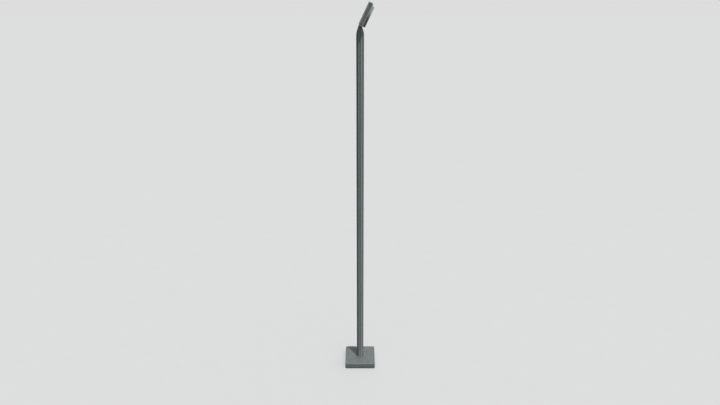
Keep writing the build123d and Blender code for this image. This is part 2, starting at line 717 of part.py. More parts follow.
def module_frame():
    frame = module_sheet((MODULE_BACK, FRAME_FRONT), 0, 8)
    pocket = module_sheet((POCKET_BACK, FRAME_FRONT + 1), POCKET_INSET, 4)
    for place in LATCH_PLACES:
        pocket -= rod(LATCH_POST_R, "X", (30, FRAME_FRONT), place)
    frame -= pocket
    frame -= module_sheet((SEAL[0], FRAME_FRONT + 1), GLASS_INSET, 5)
    for middle in MODULE_HINGE_Y:
        y = (middle - 6 + END_GAP, middle + 6 - END_GAP)
        knuckle = block(grown((MODULE_HINGE_X, MODULE_HINGE_X), 4), y, (MODULE_HIGH - 2, MODULE_HINGE_Z))
        knuckle += rod(MODULE_BARREL_R, "Y", y, MODULE_HINGE_AT)
        frame += knuckle - rod(HINGE_PIN_R + RUNNING_GAP, "Y", grown(y, 1), MODULE_HINGE_AT)
    for place in LATCH_PLACES:
        frame -= rod(LATCH_R + 0.2, "X", (20, 80), place)
    return frame


def led_board():
    board = block((POCKET_BACK, POCKET_BACK + 2), (-174, 174), (52, 272))
    return fillet(board.edges().filter_by(Axis.X), 3)


def led_chips():
    front = POCKET_BACK + 2
    chip = block((front, front + 0.8), both_ways(3), both_ways(3))
    return Compound([Pos(0, y, z) * chip for y, z in led_places()])


LENS_BACK = 44.0
LENS_THICK = 3.0
DOME_R = 11.0
DOME_FROM = 20.0
SPACERS = [(y, z) for y in (-168.0, 0.0, 168.0) for z in (57.0, 267.0)]


def lens_plate():
    plate = block((LENS_BACK, LENS_BACK + LENS_THICK), both_ways(175), (50, 274))
    plate = fillet(plate.edges().filter_by(Axis.X), 4)
    cap = Sphere(DOME_R, arc_size1=DOME_FROM, align=(Align.CENTER, Align.CENTER, Align.MIN))
    dome = Pos(LENS_BACK + LENS_THICK - 0.5, 0, 0) * Rot(0, 90, 0) * cap
    return plate + [Pos(0, y, z) * dome for y, z in led_places()]


def lens_spacers():
    return Compound([rod(3, "X", (POCKET_BACK + 2, LENS_BACK), place) for place in SPACERS])


def glass_gasket():
    return module_sheet(SEAL, GLASS_INSET, 5) - module_sheet(grown(SEAL, 1), POCKET_INSET - 0.5, 4)


def cover_glass():
    glass = module_sheet(GLASS, GLASS_INSET + 0.3, 5)
    for place in LATCH_PLACES:
        glass -= rod(LATCH_POST_R + 0.5, "X", grown(GLASS, 1), place)
    return glass


BEZEL = (FRAME_FRONT, MODULE_FRONT)
BEZEL_SCREW_R = 1.5
BEZEL_SIDE_SCREWS = [(y, z) for y in both_ways(184.5) for z in (60.0, 210.0)]
BEZEL_SCREWS = BEZEL_SIDE_SCREWS + [(y, 279.5) for y in both_ways(60.0)]


def glass_bezel():
    outer = module_sheet(BEZEL, 0, 8)
    outer = chamfer(outer.faces().sort_by(Axis.X)[-1].edges(), 1)
    view = module_sheet(grown(BEZEL, 1), BEZEL_INSET, 6)
    for y, z in LATCH_PLACES:
        view -= rod(LATCH_POST_R + 3, "X", grown(BEZEL, 2), (y, z))
        view -= block(grown(BEZEL, 2), grown((y, y), 3), (-5, z))
    bezel = outer - view
    for place in LATCH_PLACES:
        bezel -= rod(LATCH_HEAD_R + 0.3, "X", grown(BEZEL, 1), place)
    for place in BEZEL_SCREWS:
        bezel -= rod(BEZEL_SCREW_R + 0.1, "X", grown(BEZEL, 1), place)
    return bezel


def bezel_screws():
    screw = rod(BEZEL_SCREW_R, "X", BEZEL, (0, 0))
    screw += rod(2.6, "X", (MODULE_FRONT, MODULE_FRONT + 1.5), (0, 0))
    return Compound([Pos(0, y, z) * screw for y, z in BEZEL_SCREWS])


def module_screws():
    screw = rod(LATCH_R, "X", (25, FRAME_FRONT), (0, 0)) + rod(LATCH_HEAD_R, "X", BEZEL, (0, 0))
    screw -= block((MODULE_FRONT - 1.5, MODULE_FRONT + 1), both_ways(8), both_ways(0.8))
    return Compound([Pos(0, y, z) * screw for y, z in LATCH_PLACES])


# ---- Nodes ----
STANDING = [
    base_plate,
    base_gussets,
    base_cover,
    cover_brackets,
    cover_screws,
    cover_collar,
    pole_shaft,
    spigot_screws,
    door_frame,
    door_hinge_leaves,
    door_hinge_pins,
    service_door,
    door_gasket,
    lock_body,
    lock_spindle,
    lock_cam,
    cam_nut,
    equipment_board,
    board_brackets,
    cutout_base,
    cutout_cover,
    fuse_carrier,
    fuse_link,
    breaker_body,
    breaker_lever,
    earth_bar,
    earth_bar_screws,
    cutout_glands,
    riser_cable,
    riser_gland,
    riser_connector,
    pole_top_casting,
    pivot_bushes,
]
ON_HEAD = [
    head_housing,
    end_plate_screws,
    access_plugs,
    pivot_bolt,
    pivot_washers,
    pivot_nut,
    led_driver,
    surge_protector,
    terminal_block,
    head_gland,
    vent_plug,
    module_gasket,
    head_hinge_leaves,
    module_hinge_pins,
    module_frame,
    led_board,
    led_chips,
    lens_plate,
    lens_spacers,
    glass_gasket,
    cover_glass,
    glass_bezel,
    bezel_screws,
    module_screws,
]
for make in STANDING:
    save(make.__name__, make())
for make in ON_HEAD:
    save(make.__name__, make(), HEAD)
save("end_plate_back", end_plate(), HEAD)
save("end_plate_front", mirror(end_plate(), about=Plane.XZ), HEAD)
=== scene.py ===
import json
from math import cos, pi, radians, sin

import bmesh
import bpy
from mathutils import Matrix, Vector


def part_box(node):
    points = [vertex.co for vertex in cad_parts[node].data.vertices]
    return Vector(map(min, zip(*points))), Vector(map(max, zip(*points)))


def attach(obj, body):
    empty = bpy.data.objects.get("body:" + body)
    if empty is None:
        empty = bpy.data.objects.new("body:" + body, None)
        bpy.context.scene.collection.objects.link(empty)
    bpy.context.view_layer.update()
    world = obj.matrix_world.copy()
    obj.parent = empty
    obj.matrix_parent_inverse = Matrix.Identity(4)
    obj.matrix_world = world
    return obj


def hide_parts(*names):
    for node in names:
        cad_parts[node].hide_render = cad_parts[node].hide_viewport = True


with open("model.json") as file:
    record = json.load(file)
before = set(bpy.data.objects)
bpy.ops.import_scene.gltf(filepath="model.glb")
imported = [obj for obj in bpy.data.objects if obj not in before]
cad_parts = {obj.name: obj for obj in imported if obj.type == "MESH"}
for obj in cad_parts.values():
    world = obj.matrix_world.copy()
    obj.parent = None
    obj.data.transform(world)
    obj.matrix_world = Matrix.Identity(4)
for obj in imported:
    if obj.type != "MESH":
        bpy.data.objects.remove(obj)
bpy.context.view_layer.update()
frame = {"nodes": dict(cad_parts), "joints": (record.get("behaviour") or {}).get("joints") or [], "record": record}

# Street lamp post, looks only. Metres, in the CAD frame: the origin is on the ground in the middle
# of the base, +Z is up, the service door is on +Y and the lamp face looks towards +X.

nodes = frame["nodes"]
joints = {joint["name"]: joint for joint in frame["joints"]}

MM = 0.001
HEAD_LEAN = radians(-joints["head_tilt"]["range_deg"][0])   # at its lower limit the head is upright
PIVOT = Vector(joints["head_tilt"]["pos_m"])
POLE_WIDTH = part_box("pole_shaft")[1][0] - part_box("pole_shaft")[0][0]
HEAD_TO_FRAME = Matrix.Translation(PIVOT) @ Matrix.Rotation(HEAD_LEAN, 4, "Y")


# ---- Camera ----
CAMERA_AT = Vector((0.0, -8.125, 6.05))
CAMERA_AIM = Vector((-0.002, 0.0, 3.02))
CAMERA_LENS_MM = 26.93
CAMERA_SENSOR_MM = 36.0
CAMERA_NEAR = 0.05
CAMERA_FAR = 1000.0


def make_camera():
    data = bpy.data.cameras.new("camera")
    data.sensor_width = CAMERA_SENSOR_MM
    data.lens = CAMERA_LENS_MM
    data.clip_start = CAMERA_NEAR
    data.clip_end = CAMERA_FAR
    camera = bpy.data.objects.new("camera", data)
    camera.location = CAMERA_AT
    camera.rotation_euler = (CAMERA_AIM - CAMERA_AT).to_track_quat("-Z", "Y").to_euler()
    bpy.context.scene.collection.objects.link(camera)
    bpy.context.scene.camera = camera


make_camera()
bpy.context.scene.view_settings.view_transform = "Standard"


# ---- Finishes ----
def shade(red, green, blue):
    """Linear colour from display values of 0 to 255."""
    linear = []
    for value in (red, green, blue):
        share = value / 255
        linear.append(share / 12.92 if share <= 0.04045 else ((share + 0.055) / 1.055) ** 2.4)
    return (*linear, 1.0)


class Finish:
    """One procedural material, with short ways to add nodes to it."""

    def __init__(self, name, on_head=False):
        self.material = bpy.data.materials.new(name)
        self.material.use_nodes = True
        self.tree = self.material.node_tree
        self.shader = self.tree.nodes["Principled BSDF"]
        self.place = self.add("ShaderNodeTexCoord").outputs["Object"]
        if on_head:
            inputs = {"Vector": self.place, "Location": PIVOT, "Rotation": (0, HEAD_LEAN, 0)}
            self.place = self.add("ShaderNodeMapping", inputs, vector_type="TEXTURE").outputs[0]

    def feed(self, socket, value):
        """Link a socket, or set a constant."""
        if isinstance(value, bpy.types.NodeSocket):
            self.tree.links.new(value, socket)
        else:
            socket.default_value = value

    def add(self, kind, inputs=None, **settings):
        """New node. inputs maps a socket's name or number to a socket or a constant."""
        node = self.tree.nodes.new(kind)
        for key, value in settings.items():
            setattr(node, key, value)
        for key, value in (inputs or {}).items():
            self.feed(node.inputs[key], value)
        return node

    def math(self, operation, *values):
        return self.add("ShaderNodeMath", dict(enumerate(values)), operation=operation).outputs[0]

    def split(self):
        """x, y and z of the place on the surface."""
        return self.add("ShaderNodeSeparateXYZ", {0: self.place}).outputs

    def noise(self, scale, detail=3.0, rough=0.5, stretch=(1, 1, 1), shift=0.0):
        """Noise around 0.5 with scale features in a metre, fewer along an axis whose stretch is small."""
        inputs = {"Vector": self.place, "Scale": stretch, "Location": (shift, shift, shift)}
        where = self.add("ShaderNodeMapping", inputs).outputs[0]
        inputs = {"Vector": where, "Scale": scale, "Detail": detail, "Roughness": rough}
        return self.add("ShaderNodeTexNoise", inputs).outputs[0]

    def cells(self, scale):
        """Pattern of cells, about scale of them in a metre."""
        return self.add("ShaderNodeTexVoronoi", {"Vector": self.place, "Scale": scale})

    def ramp(self, value, low, high, start=0.0, end=1.0):
        """value from low to high becomes start to end, smoothly, and stays there outside."""
        inputs = {"Value": value, "From Min": low, "From Max": high, "To Min": start, "To Max": end}
        return self.add("ShaderNodeMapRange", inputs, interpolation_type="SMOOTHSTEP").outputs[0]

    def mix(self, share, first, second, mode="MIX"):
        node = self.add("ShaderNodeMix", data_type="RGBA", blend_type=mode)
        self.feed(node.inputs[0], share)
        self.feed(node.inputs[6], first)
        self.feed(node.inputs[7], second)
        return node.outputs[2]

    def relief(self, height, depth, under=None):
        """Bump as deep as depth metres where height goes from 0 to 1, on top of the bump under it."""
        inputs = {"Height": height, "Distance": depth}
        if under:
            inputs["Normal"] = under
        return self.add("ShaderNodeBump", inputs).outputs[0]

    def sharp_edges(self, radius):
        """1 on sharp edges, 0 further than about radius from them."""
        rounded = self.add("ShaderNodeBevel", {"Radius": radius}, samples=4).outputs[0]
        true = self.add("ShaderNodeNewGeometry").outputs["Normal"]
        facing = self.add("ShaderNodeVectorMath", {0: rounded, 1: true}, operation="DOT_PRODUCT")
        return self.ramp(facing.outputs["Value"], 0.995, 0.85)

    def octagon_edges(self, width):
        """1 along the eight upright edges of the pole, 0 further than width from them."""
        x, y, _ = self.split()
        x, y = self.math("ABSOLUTE", x), self.math("ABSOLUTE", y)
        flat = self.math("MAXIMUM", x, y)
        slope = self.math("MULTIPLY", self.math("ADD", x, y), cos(pi / 4))
        gap = self.math("ABSOLUTE", self.math("SUBTRACT", flat, slope))
        return self.ramp(gap, width * sin(pi / 4), 0.0)

    def box_edges(self, low, high, width):
        """1 on the edges of the box from low to high, 0 further than width from them."""
        gaps = []
        for place, first, last in zip(self.split(), low, high):
            gaps.append(
                self.math("MINIMUM", self.math("SUBTRACT", place, first), self.math("SUBTRACT", last, place))
            )
        nearest = self.math("MINIMUM", self.math("MINIMUM", gaps[0], gaps[1]), gaps[2])
        furthest = self.math("MAXIMUM", self.math("MAXIMUM", gaps[0], gaps[1]), gaps[2])
        total = self.math("ADD", self.math("ADD", gaps[0], gaps[1]), gaps[2])
        middle = self.math("SUBTRACT", self.math("SUBTRACT", total, nearest), furthest)
        return self.ramp(middle, width, width * 0.25)

    def done(self, colour, roughness, normal=None, **fixed):
        """Connect the shader. fixed are constants on its own sockets."""
        self.feed(self.shader.inputs["Base Color"], colour)
        self.feed(self.shader.inputs["Roughness"], roughness)
        if normal:
            self.feed(self.shader.inputs["Normal"], normal)
        for name, value in fixed.items():
            self.shader.inputs[name.replace("_", " ")].default_value = value
        return self.material


PAINT_DARK = shade(72, 77, 77)
PAINT_MID = shade(84, 90, 90)
PAINT_WORN = shade(130, 136, 135)
PAINT_GRIME = shade(54, 56, 55)
PAINT_DUST_AND_TOP_LIGHT = shade(101, 107, 106)


def weathered_paint(name, edges, on_head=False, streaked=True, dust=None, darkening=None):
    """Cool grey paint: mottled, faintly streaked by rain, worn lighter where edges is 1.

    dust and darkening are where the surface is paler and darker, from 0 to 1. dust also carries painted light on
    the cover's top, and painted shade where it is left off the pole's -X side.
    """
    f = Finish(name, on_head)
    mottle = f.ramp(f.noise(34, detail=6, rough=0.62), 0.34, 0.66)
    colour = f.mix(mottle, PAINT_DARK, PAINT_MID)
    cloud = f.ramp(f.noise(4.5, detail=4, shift=3.1), 0.3, 0.7, 0.0, 0.35)
    colour = f.mix(cloud, colour, PAINT_DARK)
    specks = f.ramp(f.noise(210, detail=2, shift=7.7), 0.62, 0.72, 0.0, 0.3)
    colour = f.mix(specks, colour, PAINT_WORN)
    if streaked:
        streak = f.ramp(f.noise(42, detail=4, rough=0.6, stretch=(1, 1, 0.035)), 0.5, 0.75, 0.0, 0.35)
        colour = f.mix(streak, colour, PAINT_GRIME)
    patchy = f.ramp(f.noise(60, detail=5, rough=0.7, shift=1.3), 0.22, 0.5)
    # Pale film where dust is 1: dust, which on the cover's top is also painted light, and which is left off the
    # pole's -X side as painted shade.
    if dust:
        settled = f.ramp(f.noise(19, detail=5, rough=0.65, shift=2.2), 0.34, 0.62, 0.6, 1.0)
        film = f.math("MULTIPLY", dust(f), settled)
        colour = f.mix(film, colour, PAINT_DUST_AND_TOP_LIGHT)
    # Darker where darkening is 1: the cover's lowest edge.
    if darkening:
        colour = f.mix(darkening(f), colour, PAINT_GRIME)
    worn = f.math("MULTIPLY", edges(f), patchy)
    colour = f.mix(worn, colour, PAINT_WORN)
    roughness = f.math("SUBTRACT", f.ramp(mottle, 0, 1, 0.66, 0.54), f.math("MULTIPLY", worn, 0.12))
    peel = f.relief(f.noise(520, detail=2), 0.05 * MM)
    dimples = f.relief(f.noise(34, detail=6, rough=0.62), 0.35 * MM, peel)
    chips = f.relief(worn, -0.08 * MM, dimples)
    return f.done(colour, roughness, chips, Specular_IOR_Level=0.35)


def pole_edges(f):
    """The pole's upright edges, least of all the outer ones on +X and -X."""
    x, _, _ = f.split()
    half = POLE_WIDTH / 2
    inner = f.ramp(f.math("ABSOLUTE", x), 0.75 * half, 0.9 * half, 1.0, 0.25)
    return f.math("MULTIPLY", f.octagon_edges(12 * MM), inner)


def pole_dust_and_side_shade(f):
    """Dust that thickens downwards, most of all where rain splashes it up. It is left off the -X side as painted
    shade, so the side turned from the key light stays darker.
    """
    x, _, z = f.split()
    half = POLE_WIDTH / 2
    splash = f.ramp(f.noise(55, detail=5, rough=0.7, shift=5.5), 0.35, 0.65, 0.45, 1.0)
    low = f.math("MULTIPLY", splash, f.ramp(z, 0.42, 0.16, 0.0, 0.6))
    high = f.ramp(z, 4.6, 0.6, 0.0, 0.35)
    # Painted shade: the -X side, turned away from the key light, gets no pale dust and stays darker.
    dust_off_shaded_side = f.ramp(x, -0.85 * half, -0.45 * half, 0.0, 1.0)
    return f.math("MULTIPLY", f.math("ADD", low, high), dust_off_shaded_side)


def cover_edges(f):
    low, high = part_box("base_cover")
    return f.math("MULTIPLY", f.box_edges(low, high, 10 * MM), 0.25)


def cover_dust_and_top_light(f):
    """Dust on the cover's upward faces, thinner on its sides. It is also painted light: it makes the lit top paler
    than the sides.
    """
    normal = f.add("ShaderNodeNewGeometry").outputs["Normal"]
    upward = f.add("ShaderNodeSeparateXYZ", {0: normal}).outputs[2]
    return f.ramp(upward, 0.55, 0.95, 0.4, 1.0)


def cover_low_edge_darkening(f):
    """Darker along the cover's lowest edge."""
    _, _, z = f.split()
    return f.math("MULTIPLY", f.ramp(z, 30 * MM, 6 * MM), f.ramp(f.noise(40), 0.25, 0.55, 0.7, 1.0))


def housing_edges(f):
    return f.sharp_edges(4 * MM)


def in_head(point):
    """A point of the frame, in the head's own upright axes."""
    return HEAD_TO_FRAME.inverted() @ point


def head_box(node):
    """Lowest and highest corner of a CAD node in the head's own upright axes."""
    corners = [in_head(vertex.co) for vertex in nodes[node].data.vertices]
    return tuple(Vector(map(pick, zip(*corners))) for pick in (min, max))


def end_plate_edges(f):
    low, _ = head_box("end_plate_front")
    _, high = head_box("end_plate_back")
    return f.box_edges(low, high, 13 * MM)


def module_gloss():
    """Dark gloss enamel on the lamp module, with pale dust towards the tip that is also a painted highlight."""
    f = Finish("module_gloss", on_head=True)
    low, high = head_box("module_frame")
    _, _, along = f.split()
    length = high.z - low.z
    # Painted highlight: a pale film, broken up like dust, from a third of the way up the module to its tip, where
    # it fades a little.
    rise = f.ramp(along, low.z + 0.32 * length, low.z + 0.88 * length)
    highlight_fade = f.ramp(along, low.z + 0.88 * length, high.z, 1.0, 0.75)
    wisps = f.ramp(f.noise(26, detail=5, rough=0.6, stretch=(1, 1, 0.4)), 0.25, 0.75, 0.72, 1.0)
    dust = f.math("MULTIPLY", f.math("MULTIPLY", rise, highlight_fade), wisps)
    fine = f.ramp(f.noise(420, detail=3), 0.4, 0.7, 0.85, 1.0)
    dust = f.math("MULTIPLY", dust, fine)
    colour = f.mix(dust, shade(20, 23, 25), shade(164, 170, 170))
    colour = f.mix(f.math("MULTIPLY", f.sharp_edges(1.2 * MM), 0.15), colour, PAINT_WORN)
    roughness = f.ramp(dust, 0, 1, 0.16, 0.62)
    normal = f.relief(f.noise(380, detail=2), 0.03 * MM)
    return f.done(colour, roughness, normal, Coat_Weight=0.3, Coat_Roughness=0.12)


def galvanised_steel():
    """Hot-dip zinc: grey spangle of flat crystals, darker film in the hollows."""
    f = Finish("galvanised_steel")
    spangle = f.cells(95)
    tone = f.add("ShaderNodeSeparateColor", {0: spangle.outputs["Color"]}).outputs[0]
    colour = f.mix(tone, shade(118, 123, 126), shade(158, 163, 166))
    film = f.ramp(f.noise(14, detail=5, rough=0.6), 0.4, 0.7, 0.0, 0.5)
    colour = f.mix(film, colour, shade(98, 101, 102))
    roughness = f.ramp(tone, 0, 1, 0.38, 0.56)
    normal = f.relief(f.noise(160, detail=3), 0.08 * MM)
    return f.done(colour, roughness, normal, Metallic=0.75)


def turned_steel():
    """Stainless fasteners: fine turning marks, brighter rubbed edges."""
    f = Finish("turned_steel")
    marks = f.noise(900, detail=2, stretch=(1, 1, 0.2))
    colour = f.mix(marks, shade(122, 124, 126), shade(168, 170, 171))
    colour = f.mix(f.math("MULTIPLY", f.sharp_edges(0.6 * MM), 0.7), colour, shade(205, 206, 206))
    stain = f.ramp(f.noise(60, detail=4), 0.55, 0.75, 0.0, 0.5)
    colour = f.mix(stain, colour, shade(92, 86, 80))
    roughness = f.ramp(marks, 0.3, 0.7, 0.26, 0.42)
    return f.done(colour, roughness, f.relief(marks, 0.02 * MM), Metallic=0.95)


def brass(name, bright, dull):
    """Machined brass, dulled in patches and bright along its edges."""
    f = Finish(name)
    tarnish = f.ramp(f.noise(70, detail=5, rough=0.65), 0.35, 0.65)
    colour = f.mix(tarnish, bright, dull)
    colour = f.mix(f.math("MULTIPLY", f.sharp_edges(0.8 * MM), 0.6), colour, shade(232, 205, 140))
    roughness = f.ramp(tarnish, 0, 1, 0.28, 0.5)
    return f.done(colour, roughness, f.relief(f.noise(500, detail=2), 0.03 * MM), Metallic=0.95)


def rubber(name, tone):
    """Moulded rubber or cable sheath: matt, dusty, with a fine grain."""
    f = Finish(name)
    dust = f.ramp(f.noise(48, detail=5, rough=0.65), 0.4, 0.75, 0.0, 0.35)
    colour = f.mix(dust, tone, shade(104, 104, 101))
    roughness = f.ramp(dust, 0, 0.35, 0.62, 0.82)
    return f.done(colour, roughness, f.relief(f.noise(900, detail=2), 0.04 * MM))


def moulded_plastic(name, tone, aged, roughness, grain=700, on_head=False):
    """Injection-moulded plastic: fine spark-eroded grain, a little yellowing or dust, softened edges."""
    f = Finish(name, on_head)
    age = f.ramp(f.noise(18, detail=4), 0.35, 0.7, 0.0, 0.55)
    colour = f.mix(age, tone, aged)
    colour = f.mix(f.math("MULTIPLY", f.sharp_edges(0.8 * MM), 0.25), colour, shade(200, 200, 196))
    gloss = f.ramp(f.noise(30, detail=3, shift=4.2), 0.3, 0.7, roughness - 0.06, roughness + 0.08)
    return f.done(colour, gloss, f.relief(f.noise(grain, detail=2), 0.03 * MM))


def laminate_board():
    """Pressed laminate equipment board: brown, with fibres along its length."""
    f = Finish("laminate_board")
    fibre = f.noise(330, detail=5, rough=0.6, stretch=(1, 1, 0.05))
    colour = f.mix(f.ramp(fibre, 0.3, 0.7), shade(96, 66, 42), shade(132, 96, 64))
    patch = f.ramp(f.noise(9, detail=4), 0.4, 0.7, 0.0, 0.4)
    colour = f.mix(patch, colour, shade(84, 62, 44))
    return f.done(colour, f.ramp(fibre, 0.3, 0.7, 0.5, 0.66), f.relief(fibre, 0.05 * MM))


def ceramic():
    """Glazed fuse body with hairline specks."""
    f = Finish("fuse_ceramic")
    specks = f.ramp(f.noise(300, detail=3), 0.62, 0.74)
    colour = f.mix(specks, shade(228, 224, 212), shade(178, 168, 150))
    return f.done(colour, f.ramp(specks, 0, 1, 0.2, 0.4), f.relief(f.noise(120), 0.05 * MM))


def drawn_aluminium():
    """Driver case: drawn along its length, so its marks run along Y."""
    f = Finish("drawn_aluminium", on_head=True)
    drawn = f.noise(700, detail=3, stretch=(1, 0.02, 1))
    colour = f.mix(drawn, shade(150, 152, 154), shade(192, 194, 196))
    smudge = f.ramp(f.noise(25, detail=4), 0.45, 0.7, 0.0, 0.3)
    colour = f.mix(smudge, colour, shade(120, 121, 122))
    return f.done(colour, f.ramp(drawn, 0.3, 0.7, 0.3, 0.46), f.relief(drawn, 0.03 * MM), Metallic=0.9)


def board_white():
    """White solder mask: broad copper areas show faintly through it, in a grid of pads."""
    f = Finish("board_white", on_head=True)
    _, y, z = f.split()
    lanes = f.math("PINGPONG", f.math("ADD", y, 1.0), 20 * MM)
    rows = f.math("PINGPONG", f.math("ADD", z, 1.0), 21 * MM)
    tracks = f.math("MINIMUM", lanes, rows)
    copper = f.ramp(tracks, 1.6 * MM, 2.2 * MM, 0.0, 0.6)
    colour = f.mix(copper, shade(196, 200, 194), shade(232, 234, 230))
    return f.done(colour, 0.35, f.relief(copper, 0.05 * MM))


def phosphor():
    """Unlit LED phosphor: grainy yellow."""
    f = Finish("led_phosphor", on_head=True)
    grain = f.noise(2500, detail=2)
    colour = f.mix(grain, shade(226, 184, 42), shade(246, 216, 96))
    return f.done(colour, f.ramp(grain, 0.3, 0.7, 0.35, 0.5), f.relief(grain, 0.02 * MM))


def clear_glazing(name, tint, roughness, dust_share, body):
    """Clear glass or optics: slightly tinted, with a thin dust that dulls it in patches.

    body is how much of it is seen: the rest lets light straight through, so that what is behind is lit.
    """
    f = Finish(name, on_head=True)
    dust = f.ramp(f.noise(22, detail=6, rough=0.65), 0.42, 0.75, 0.0, dust_share)
    colour = f.mix(dust, tint, shade(196, 198, 194))
    gloss = f.ramp(dust, 0, 1, roughness, 0.2)
    ripple = f.relief(f.noise(14, detail=1), 0.02 * MM)
    return f.done(colour, gloss, ripple, Transmission_Weight=0.92, IOR=1.5, Alpha=body)


def by_slot():
    """The finish of each of the record's material slots."""
    return {
        "post_paint": weathered_paint("post_paint", pole_edges, dust=pole_dust_and_side_shade),
        "head_paint": weathered_paint("head_paint", housing_edges, on_head=True, streaked=False),
        "module_gloss": module_gloss(),
        "galvanised_steel": galvanised_steel(),
        "fastener_steel": turned_steel(),
        "lock_brass": brass("lock_brass", shade(176, 146, 84), shade(120, 100, 66)),
        "brass": brass("earth_brass", shade(206, 170, 92), shade(150, 120, 70)),
        "black_rubber": rubber("black_rubber", shade(34, 34, 34)),
        "cable_sheath": rubber("cable_sheath", shade(40, 40, 42)),
        "board_plastic": laminate_board(),
        "grey_plastic": moulded_plastic("grey_plastic", shade(146, 149, 150), shade(128, 128, 120), 0.48),
        "white_plastic": moulded_plastic("white_plastic", shade(224, 224, 220), shade(206, 200, 182), 0.34),
        "black_plastic": moulded_plastic("black_plastic", shade(30, 30, 31), shade(52, 51, 49), 0.45),
        "bush_plastic": moulded_plastic("bush_plastic", shade(74, 68, 60), shade(58, 54, 50), 0.5),
        "ceramic_white": ceramic(),
        "driver_case": drawn_aluminium(),
        "board_white": board_white(),
        "led_phosphor": phosphor(),
        "clear_optic": clear_glazing("clear_optic", shade(238, 242, 240), 0.04, dust_share=0.06, body=0.35),
        "cover_glass": clear_glazing("cover_glass", shade(214, 230, 224), 0.02, dust_share=0.15, body=0.22),
    }


def paint_node(name, material):
    node = nodes[name]
    if not node.material_slots:
        node.data.materials.append(material)
    for slot in node.material_slots:
        slot.material = material


def finish_cad_nodes(finishes):
    for part in frame["record"]["subparts"]:
        paint_node(part["node"], finishes[part["material_slot"]])
    # The cover's dust is also painted light on its upward faces; its lowest edge is made darker.
    cover = weathered_paint("cover_paint", cover_edges, streaked=False, dust=cover_dust_and_top_light, darkening=cover_low_edge_darkening)
    paint_node("base_cover", cover)
    plate_paint = weathered_paint("end_plate_paint", end_plate_edges, on_head=True, streaked=False)
    paint_node("end_plate_front", plate_paint)
    paint_node("end_plate_back", plate_paint)


finishes = by_slot()
finish_cad_nodes(finishes)


# ---- Detailed pieces in place of plain CAD ones ----
ROUND = 72
POLE_CORNER = 8 * MM
CABLE_RADIUS = (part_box("riser_cable")[1].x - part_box("riser_cable")[0].x) / 2
CABLE_AXIS = (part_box("riser_cable")[1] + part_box("riser_cable")[0]) / 2
BORE_PLAY = 0.05 * MM
CAP_STEPS = 5
CAP_MOUTH = 0.4 * MM


def new_piece(name, mesh, material, body, slot, *replaced):
    """Put a finished bmesh into the scene as a piece that rides on a body."""
    data = bpy.data.meshes.new(name)
    mesh.to_mesh(data)
    mesh.free()
    data.materials.append(material)
    data.shade_smooth()
    data.set_sharp_from_angle(angle=radians(32))
    piece = bpy.data.objects.new(name, data)
    bpy.context.scene.collection.objects.link(piece)
    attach(piece, body)
    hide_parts(*replaced)


def skin(mesh, rings):
    """Join closed rings of points, each to the next and the last to the first."""
    rings = [[mesh.verts.new(point) for point in ring] for ring in rings]
    for first, second in zip(rings, rings[1:] + rings[:1]):
        for number in range(len(first)):
            mesh.faces.new((first[number - 1], first[number], second[number], second[number - 1]))


def turned(mesh, place, profile):
    """Ring-shaped solid about Z. profile lists (height, radius at an angle), up outside, down the bore."""
    angles = [2 * pi * number / ROUND for number in range(ROUND)]
    rings = []
    for height, radius in profile:
        ring = [(radius(angle) * cos(angle), radius(angle) * sin(angle)) for angle in angles]
        rings.append([place @ Vector((x, y, height)) for x, y in ring])
    skin(mesh, rings)


def circle(radius):
    return lambda angle: radius


def hexagon(half_flats, cap):
    """Hexagon whose corners are turned down to the radius cap."""
    return lambda angle: min(cap, half_flats / cos((angle + pi / 6) % (pi / 3) - pi / 6))


def fluted(radius, depth, flutes=18):
    return lambda angle: radius - depth * (0.5 - 0.5 * cos(flutes * angle)) ** 4


def rounded_square(half, power=9):
    return lambda angle: half / (abs(cos(angle)) ** power + abs(sin(angle)) ** power) ** (1 / power)


def nut_profile(low, high, half_flats):
    """Hexagonal nut with both faces turned down."""
    bevel = 0.14 * half_flats
    face, widest = hexagon(half_flats, half_flats), hexagon(half_flats, 1.11 * half_flats)
    return [(low, face), (low + bevel, widest), (high - bevel, widest), (high, face)]


def thread_profile(low, high, radius, pitch=1.5 * MM):
    depth = 0.35 * pitch
    turns = max(1, round((high - low) / pitch))
    profile = []
    for turn in range(turns):
        start = low + turn * (high - low) / turns
        profile += [(start, circle(radius - depth)), (start + pitch / 2, circle(radius))]
    return profile + [(high, circle(radius - depth))]


def cap_profile(low, high, radius, bore):
    """Fluted cap nut that rounds over to the cable, then the gland's mouth."""
    shoulder = high - 0.3 * (high - low)
    lip = bore + 0.25 * (radius - bore)
    flute = 0.06 * radius
    profile = [(low, circle(0.93 * radius)), (low + flute, fluted(radius, flute))]
    for step in range(CAP_STEPS + 1):
        turn = step / CAP_STEPS * pi / 2
        height = shoulder + (high - shoulder) * sin(turn)
        size = lip + (radius - lip) * cos(turn)
        profile.append((height, fluted(size, flute * cos(turn))))
    return profile + [(high - CAP_MOUTH, circle(bore + BORE_PLAY))]


def entry_gland(mesh, place, length):
    """Cable gland on a wall of the fuse box: nut on the wall, short thread, fluted cap."""
    radius = 9 * MM
    nut_top = 0.3 * length
    cap_low = 0.42 * length
    profile = nut_profile(0, nut_top, 0.88 * radius)
    profile += thread_profile(nut_top, cap_low, 0.8 * radius)
    profile += cap_profile(cap_low, length, 0.96 * radius, CABLE_RADIUS)
    turned(mesh, place, profile + [(0, circle(CABLE_RADIUS + BORE_PLAY))])


